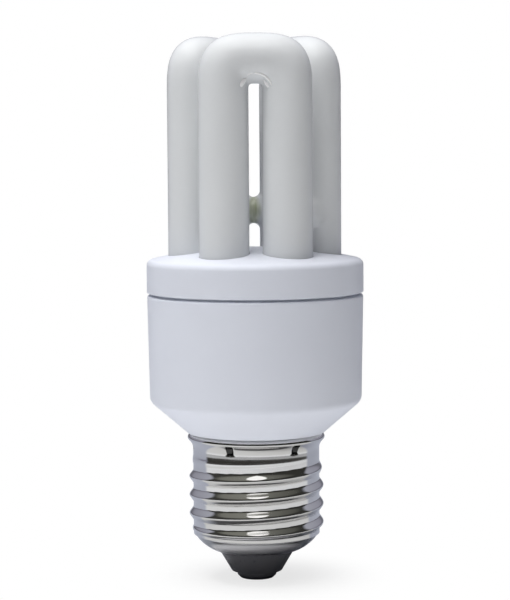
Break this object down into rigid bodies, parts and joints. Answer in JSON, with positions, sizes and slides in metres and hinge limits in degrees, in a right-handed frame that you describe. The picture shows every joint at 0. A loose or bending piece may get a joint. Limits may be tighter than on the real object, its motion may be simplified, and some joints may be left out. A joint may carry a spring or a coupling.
{
  "type": "compact fluorescent bulb",
  "caption": "Compact fluorescent lamp: bent glass tubes joined by bridges on a round white housing with a conical base, a threaded metal screw cap, black insulator and end contact.",
  "frame": {"origin": "centre of the end contact's flat face, the lowest point of the lamp", "axes": "+Z along the lamp's axis towards the glass, -Y towards the viewer of the picture, +X to the right"},
  "size_m": [0.042, 0.042, 0.1055],
  "materials": {
    "coated_glass": "glossy glass with a white coating inside",
    "white_plastic": "smooth moulded",
    "plated_shell": "bright nickel plating on rolled sheet",
    "black_glass": "fused black glass",
    "contact_metal": "dull, darkened",
    "solder": "dull",
    "cement": "set cement",
    "board": "paper laminate",
    "ferrite": "sintered",
    "bobbin": "moulded",
    "enamelled_wire": "enamelled copper",
    "tinned_wire": "tinned",
    "capacitor_sleeve": "shrunk sleeve",
    "dipped_coat": "dipped resin",
    "black_epoxy": "moulded epoxy",
    "diac_glass": "tinted",
    "resistor_coat": "lacquered",
    "thermistor_coat": "lacquered",
    "live_sleeve": "wire insulation",
    "neutral_sleeve": "wire insulation"
  },
  "bodies": {
    "root": {"discharge_tube": "coated_glass", "tube_holder": "white_plastic", "lower_housing": "white_plastic", "screw_shell": "plated_shell", "cap_insulator": "black_glass", "centre_contact": "contact_metal", "contact_solder": "solder", "tube_cement": "cement", "circuit_board": "board", "choke_core_upper": "ferrite", "choke_core_lower": "ferrite", "drive_toroid": "ferrite", "choke_bobbin": "bobbin", "choke_winding": "enamelled_wire", "drive_winding_1": "enamelled_wire", "drive_winding_2": "enamelled_wire", "drive_winding_3": "enamelled_wire", "choke_pins": "tinned_wire", "wire_post_1": "tinned_wire", "wire_post_2": "tinned_wire", "wire_post_3": "tinned_wire", "wire_post_4": "tinned_wire", "electrode_lead_1": "tinned_wire", "electrode_lead_2": "tinned_wire", "electrode_lead_3": "tinned_wire", "electrode_lead_4": "tinned_wire", "smoothing_capacitor": "capacitor_sleeve", "resonant_capacitor": "dipped_coat", "blocking_capacitor": "dipped_coat", "transistor_1": "black_epoxy", "transistor_2": "black_epoxy", "rectifier_diode_1": "black_epoxy", "rectifier_diode_2": "black_epoxy", "rectifier_diode_3": "black_epoxy", "rectifier_diode_4": "black_epoxy", "trigger_diac": "diac_glass", "base_resistor_1": "resistor_coat", "base_resistor_2": "resistor_coat", "start_resistor": "resistor_coat", "fuse_resistor": "resistor_coat", "starting_thermistor": "thermistor_coat", "live_lead": "live_sleeve", "neutral_lead": "neutral_sleeve"}
  },
  "joints": []
}
